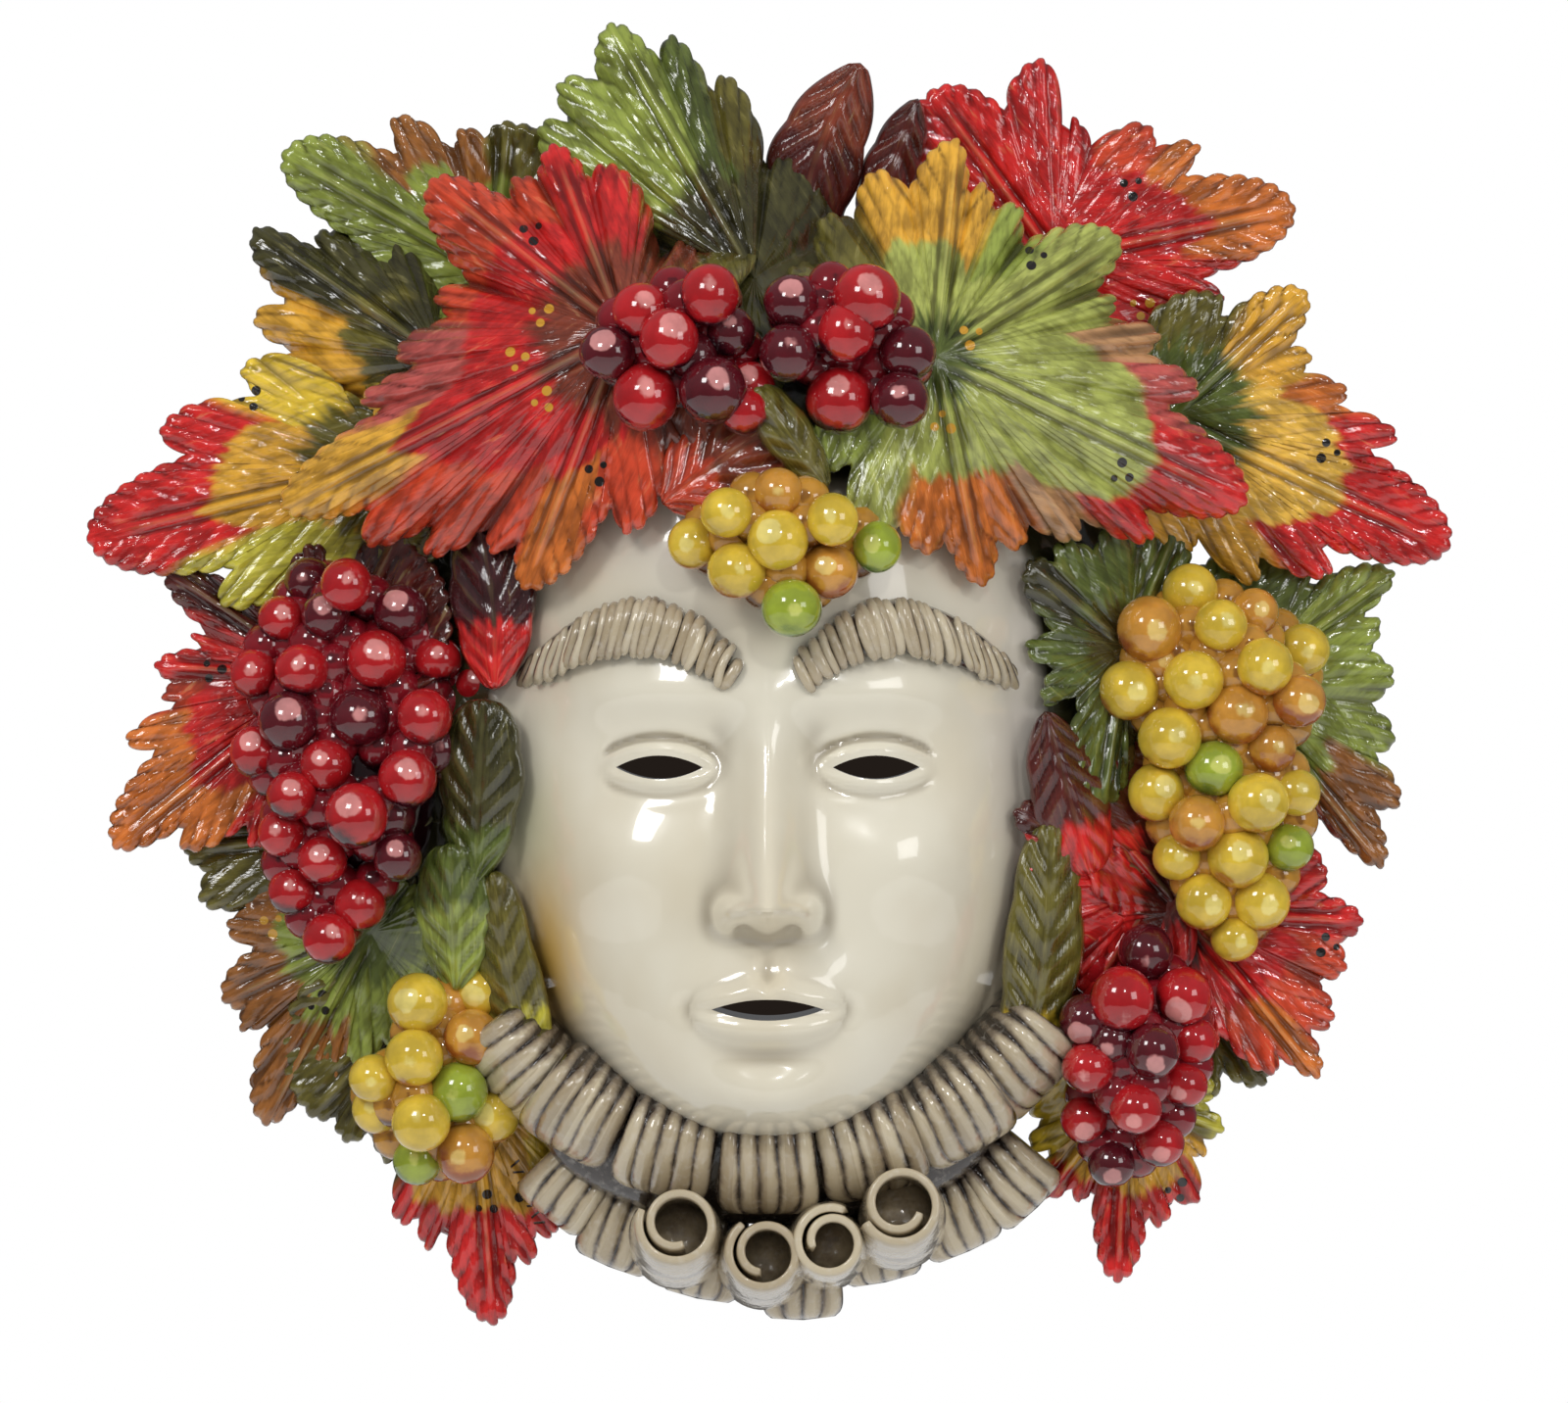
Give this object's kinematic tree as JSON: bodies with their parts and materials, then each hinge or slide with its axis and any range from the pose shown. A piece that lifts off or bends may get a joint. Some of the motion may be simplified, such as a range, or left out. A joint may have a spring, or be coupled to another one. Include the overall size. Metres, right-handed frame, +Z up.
{
  "type": "bacchus wall mask",
  "caption": "Hollow glazed ceramic wall mask: a calm pierced face in a wreath of vine leaves and grapes, with combed brows and a curled beard.",
  "frame": {"origin": "middle of the flat hanging pad at the top of the hollow back, in the plane of the wall", "axes": "+Y into the wall, +Z up, +X towards the right of a viewer who faces the mask"},
  "size_m": [0.3998, 0.1234, 0.3838],
  "materials": {
    "face_glaze": "thick clear gloss over cream white",
    "leaf_glaze": "gloss glaze brushed in red, ochre, yellow and green",
    "grape_glaze": "gloss glaze in red and plum, or yellow and green",
    "hair_glaze": "gloss cream with umber wiped into the grooves"
  },
  "bodies": {
    "root": {"mask": "face_glaze"}
  },
  "joints": []
}
